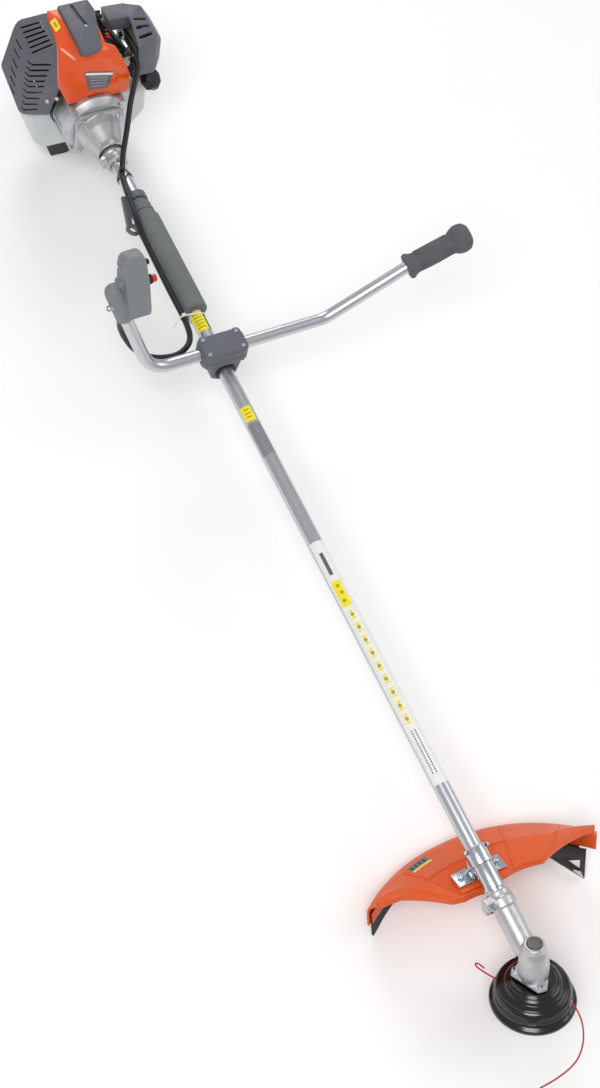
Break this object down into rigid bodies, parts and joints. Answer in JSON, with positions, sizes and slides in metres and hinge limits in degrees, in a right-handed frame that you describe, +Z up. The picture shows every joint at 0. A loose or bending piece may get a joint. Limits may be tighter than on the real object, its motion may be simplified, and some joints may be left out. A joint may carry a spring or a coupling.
{
  "type": "string trimmer",
  "caption": "Petrol string trimmer with a small engine, long straight shaft, bike handlebar with throttle control, curved guard and bump-feed cutting head.",
  "frame": {"origin": "middle of the flat sole of the engine foot, on the ground", "axes": "+X is lateral, towards the plain rubber grip; +Y runs along the shaft from the cutting head to the engine; +Z up"},
  "size_m": [0.6322, 1.9084, 0.404],
  "materials": {
    "black_plastic": "satin",
    "black_rubber": "matt",
    "cast_aluminium": "cast, satin",
    "charcoal_plastic": "matt",
    "clear_bulb": "translucent",
    "dark_steel": "machined",
    "filter_foam": "open foam",
    "grey_plastic": "fine texture",
    "orange_plastic": "glossy",
    "pale_grey_plastic": "satin",
    "pull_rope": "braided",
    "red_plastic": "glossy",
    "satin_aluminium": "satin",
    "tank_plastic": "translucent, satin",
    "trim_line": "smooth nylon",
    "zinc_steel": "bright zinc"
  },
  "bodies": {
    "chassis": {"clutch_housing": "cast_aluminium", "fan_housing": "cast_aluminium", "crankcase": "cast_aluminium", "cylinder": "cast_aluminium", "starter_housing": "grey_plastic", "starter_rope": "pull_rope", "ignition_coil": "black_plastic", "spark_plug": "zinc_steel", "plug_boot": "black_rubber", "muffler": "dark_steel", "muffler_guard": "grey_plastic", "engine_cover": "orange_plastic", "top_cover": "grey_plastic", "intake_insulator": "black_plastic", "carburetor": "cast_aluminium", "filter_base": "black_plastic", "filter_element": "filter_foam", "fuel_tank": "tank_plastic", "tank_foot": "charcoal_plastic", "main_tube": "satin_aluminium", "shaft_bush": "black_rubber", "hip_sleeve": "grey_plastic", "harness_ring": "grey_plastic", "handle_clamp_base": "grey_plastic", "handle_clamp_cap": "grey_plastic", "throttle_conduit": "black_plastic", "gear_case": "cast_aluminium", "guard": "orange_plastic", "guard_skirt": "black_rubber", "line_cutter": "black_plastic", "guard_bracket": "zinc_steel"},
    "crank": {"crankshaft": "dark_steel", "flywheel": "cast_aluminium", "clutch_shoes": "dark_steel"},
    "piston": {"piston": "satin_aluminium"},
    "drive_line": {"clutch_drum": "zinc_steel", "drive_shaft": "dark_steel", "pinion_gear": "dark_steel"},
    "cutting_head": {"output_shaft": "dark_steel", "head_housing": "black_plastic", "line_tail_short": "trim_line", "line_tail_long": "trim_line"},
    "bump_knob": {"bump_knob": "black_plastic"},
    "spool": {"spool": "black_plastic"},
    "starter_pulley": {"starter_pulley": "black_plastic"},
    "starter_handle": {"starter_handle": "black_plastic"},
    "choke_lever": {"choke_lever": "black_plastic"},
    "carb_throttle_lever": {"carb_throttle_lever": "zinc_steel"},
    "primer_bulb": {"primer_bulb": "clear_bulb"},
    "filter_cover": {"filter_cover": "grey_plastic"},
    "fuel_cap": {"fuel_cap": "black_plastic"},
    "grip_side": {"grip_bar": "satin_aluminium", "rubber_grip": "grey_plastic"},
    "throttle_side": {"throttle_bar": "satin_aluminium", "throttle_case_outer": "pale_grey_plastic", "throttle_case_inner": "pale_grey_plastic", "throttle_conduit_end": "black_plastic"},
    "throttle_trigger": {"throttle_trigger": "black_plastic"},
    "trigger_lockout": {"trigger_lockout": "black_plastic"},
    "stop_button": {"stop_button": "red_plastic"}
  },
  "joints": [
    {"name": "crank_spin", "type": "hinge", "parent": "chassis", "child": "crank", "pos_m": [0, -0.049, 0.155], "axis": [0, 1, 0], "continuous": true},
    {"name": "piston_slide", "type": "slide", "parent": "chassis", "child": "piston", "axis": [0, 0, 1], "range_m": [-0.032, 0]},
    {"name": "drive_spin", "type": "hinge", "parent": "chassis", "child": "drive_line", "pos_m": [0, -0.149, 0.155], "axis": [0, 1, 0], "continuous": true},
    {"name": "head_spin", "type": "hinge", "parent": "chassis", "child": "cutting_head", "pos_m": [0, -1.721, 0.155], "axis": [0, 0.5, 0.866], "continuous": true},
    {"name": "bump_press", "type": "slide", "parent": "cutting_head", "child": "bump_knob", "axis": [0, 0.5, 0.866], "range_m": [0, 0.005], "stiffness_N_per_m": 1500, "springref_m": -0.004},
    {"name": "spool_turn", "type": "hinge", "parent": "bump_knob", "child": "spool", "pos_m": [0, -1.721, 0.155], "axis": [0, 0.5, 0.866], "continuous": true},
    {"name": "starter_pull", "type": "slide", "parent": "chassis", "child": "starter_handle", "axis": [0, 0, 1], "range_m": [0, 0.7], "stiffness_N_per_m": 6, "springref_m": -0.6, "deforming": ["starter_rope"]},
    {"name": "starter_pulley_spin", "type": "hinge", "parent": "chassis", "child": "starter_pulley", "pos_m": [0, 0.017, 0.155], "axis": [0, 1, 0], "range_deg": [-1545, 0]},
    {"name": "choke_turn", "type": "hinge", "parent": "chassis", "child": "choke_lever", "pos_m": [0.079, -0.028, 0.239], "axis": [0, 1, 0], "range_deg": [-60, 0]},
    {"name": "carb_throttle_turn", "type": "hinge", "parent": "chassis", "child": "carb_throttle_lever", "pos_m": [0.073, -0.049, 0.259], "axis": [0, 0, 1], "range_deg": [-36, 0]},
    {"name": "primer_press", "type": "slide", "parent": "chassis", "child": "primer_bulb", "axis": [0, 1, 0], "range_m": [0, 0.004], "stiffness_N_per_m": 400, "springref_m": -0.001},
    {"name": "filter_cover_off", "type": "slide", "parent": "chassis", "child": "filter_cover", "axis": [1, 0, 0], "range_m": [0, 0.06]},
    {"name": "fuel_cap_turn", "type": "hinge", "parent": "chassis", "child": "fuel_cap", "pos_m": [0.101, -0.049, 0.147], "axis": [0.5514, -0.4511, 0.7018], "range_deg": [0, 360]},
    {"name": "grip_bar_tilt", "type": "hinge", "parent": "chassis", "child": "grip_side", "pos_m": [0.2, -0.659, 0.188], "axis": [1, 0, 0], "range_deg": [-15, 15]},
    {"name": "throttle_bar_tilt", "type": "hinge", "parent": "chassis", "child": "throttle_side", "pos_m": [-0.06, -0.659, 0.188], "axis": [1, 0, 0], "range_deg": [-15, 15]},
    {"name": "trigger_pull", "type": "hinge", "parent": "throttle_side", "child": "throttle_trigger", "pos_m": [-0.1375, -0.57865, 0.37441], "axis": [1, 0, 0], "range_deg": [-22, 0], "stiffness_Nm_per_rad": 0.5, "springref_deg": 8.59},
    {"name": "lockout_press", "type": "slide", "parent": "throttle_side", "child": "trigger_lockout", "axis": [-1, 0, 0], "range_m": [0, 0.005], "stiffness_N_per_m": 300, "springref_m": -0.002},
    {"name": "stop_press", "type": "slide", "parent": "throttle_side", "child": "stop_button", "axis": [-1, 0, 0], "range_m": [0, 0.003], "stiffness_N_per_m": 800, "springref_m": -0.001}
  ],
  "couplings": [
    {"joint": "head_spin", "follows": "drive_spin", "ratio": 0.7333},
    {"joint": "starter_pulley_spin", "follows": "starter_pull", "rad_per_m": -38.46},
    {"joint": "carb_throttle_turn", "follows": "trigger_pull", "ratio": 1.6}
  ]
}
